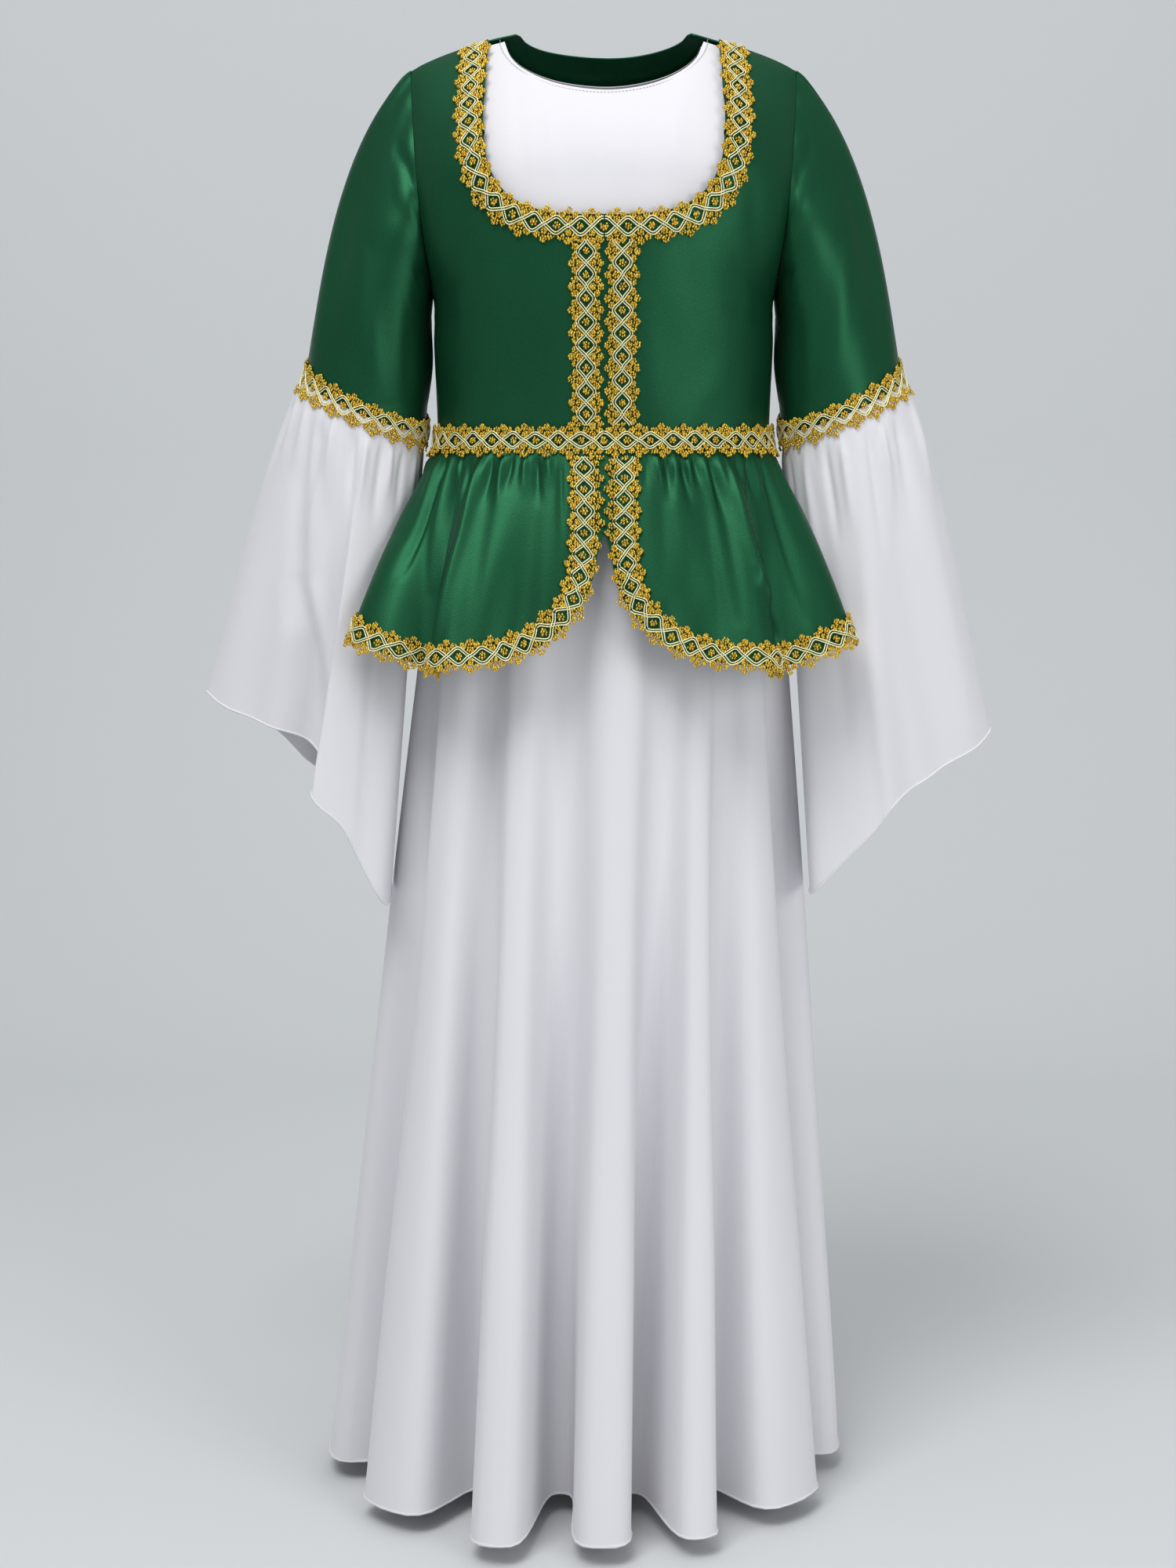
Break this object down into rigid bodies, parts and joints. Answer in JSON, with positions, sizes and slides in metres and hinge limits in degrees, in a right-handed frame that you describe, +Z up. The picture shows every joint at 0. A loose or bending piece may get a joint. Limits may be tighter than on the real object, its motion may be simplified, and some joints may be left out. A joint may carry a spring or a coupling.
{
  "type": "renaissance costume",
  "caption": "Girl's renaissance costume in worn shape: satin jacket with gold lace and a peplum, white bell flounces at the cuffs and a long white dress under it",
  "frame": {"origin": "the middle of the shoulder line, between the two points where the dress's neck meets the shoulder; the wearer's shoulders hold it there", "axes": "+Z up, the front faces -Y, the wearer's left is +X"},
  "size_m": [0.6, 0.3576, 1.0826],
  "materials": {
    "satin": "emerald green polyester satin, soft sheen",
    "crepe": "white matt crepe, very fine grain",
    "lace": "gold metallic gimp lace of looped thread and paler cord"
  },
  "bodies": {
    "root": {"dress_front": "crepe", "dress_back": "crepe", "skirt_front_right": "crepe", "skirt_front": "crepe", "skirt_front_left": "crepe", "skirt_back_left": "crepe", "skirt_back": "crepe", "skirt_back_right": "crepe", "flounce_left": "crepe", "flounce_right": "crepe", "jacket_front_left": "satin", "jacket_front_right": "satin", "jacket_back": "satin", "sleeve_left": "satin", "sleeve_right": "satin", "peplum_front_left": "satin", "peplum_front_right": "satin", "peplum_back": "satin", "trim_neck_left": "lace", "trim_neck_right": "lace", "trim_front_left": "lace", "trim_front_right": "lace", "trim_waist": "lace", "trim_peplum_left": "lace", "trim_peplum_right": "lace", "trim_peplum_back": "lace", "trim_cuff_left": "lace", "trim_cuff_right": "lace"}
  },
  "joints": []
}
